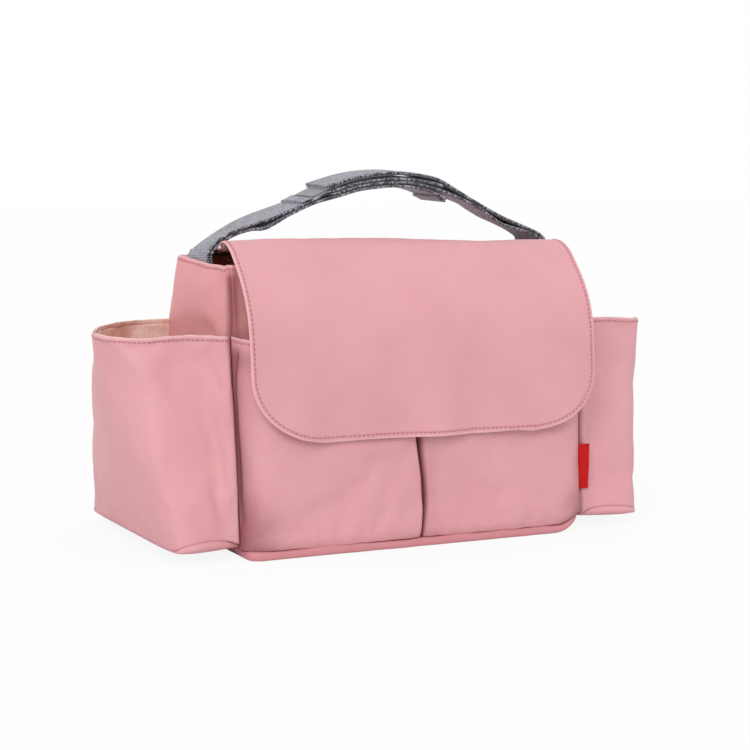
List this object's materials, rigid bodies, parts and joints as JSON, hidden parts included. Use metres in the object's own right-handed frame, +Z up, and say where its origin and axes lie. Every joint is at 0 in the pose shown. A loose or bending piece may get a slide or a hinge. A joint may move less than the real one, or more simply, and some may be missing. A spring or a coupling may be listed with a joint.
{
  "type": "stroller organiser bag",
  "caption": "Soft boxy organiser bag for a pushchair, with a fold-over flap, end bottle pockets, pleated front pockets and a webbing handle that unfastens at the grip.",
  "frame": {"origin": "on the ground, under the middle of the bag's outline", "axes": "+Z up, +X to the right along the length seen from the front, the flap and the front pockets face -Y"},
  "size_m": [0.4208, 0.175, 0.2494],
  "materials": {
    "twill": "dusty pink nylon twill with a fine diagonal weave and a satin sheen",
    "satin": "smooth peach lining cloth",
    "webbing": "ribbed grey woven webbing",
    "tape": "nylon hook and loop tape",
    "label": "plain red satin ribbon",
    "board": "plain stiffening board"
  },
  "bodies": {
    "bag": {"bottom_panel": "twill", "base_board": "board", "front_panel": "twill", "back_panel": "twill", "left_side_panel": "twill", "right_side_panel": "twill", "main_lining": "satin", "left_pocket_wall": "twill", "right_pocket_wall": "twill", "left_pocket_base": "twill", "right_pocket_base": "twill", "left_pocket_lining": "satin", "right_pocket_lining": "satin", "front_pocket_left": "twill", "front_pocket_right": "twill", "front_pocket_lining_left": "satin", "front_pocket_lining_right": "satin", "front_pocket_pleat": "twill", "loop_patch_left": "tape", "loop_patch_right": "tape", "side_label": "label", "left_strap_tail": "webbing", "right_strap_tail": "webbing"},
    "flap_top": {"flap_top_shell": "twill", "flap_top_lining": "satin"},
    "flap_front": {"flap_front_shell": "twill", "flap_front_lining": "satin", "hook_patch_left": "tape", "hook_patch_right": "tape"},
    "handle_left": {"left_upper_strap": "webbing", "left_lower_strap": "webbing", "grip_loop_tape": "tape"},
    "handle_right": {"right_upper_strap": "webbing", "right_lower_strap": "webbing", "grip_hook_tape": "tape"}
  },
  "joints": [
    {"name": "flap_lift", "type": "hinge", "parent": "bag", "child": "flap_top", "pos_m": [0, 0.0485, 0.1926], "axis": [-1, 0, 0], "range_deg": [0, 165], "deforming": ["left_upper_strap", "left_lower_strap", "right_upper_strap", "right_lower_strap", "grip_loop_tape", "grip_hook_tape"]},
    {"name": "flap_fold", "type": "hinge", "parent": "flap_top", "child": "flap_front", "pos_m": [0, -0.0364, 0.206], "axis": [-1, 0, 0], "range_deg": [0, 165]},
    {"name": "handle_left_open", "type": "hinge", "parent": "bag", "child": "handle_left", "pos_m": [-0.1258, 0.014, 0.1905], "axis": [0, -1, 0], "range_deg": [0, 75]},
    {"name": "handle_right_open", "type": "hinge", "parent": "bag", "child": "handle_right", "pos_m": [0.1258, 0.014, 0.1905], "axis": [0, 1, 0], "range_deg": [0, 75]}
  ]
}
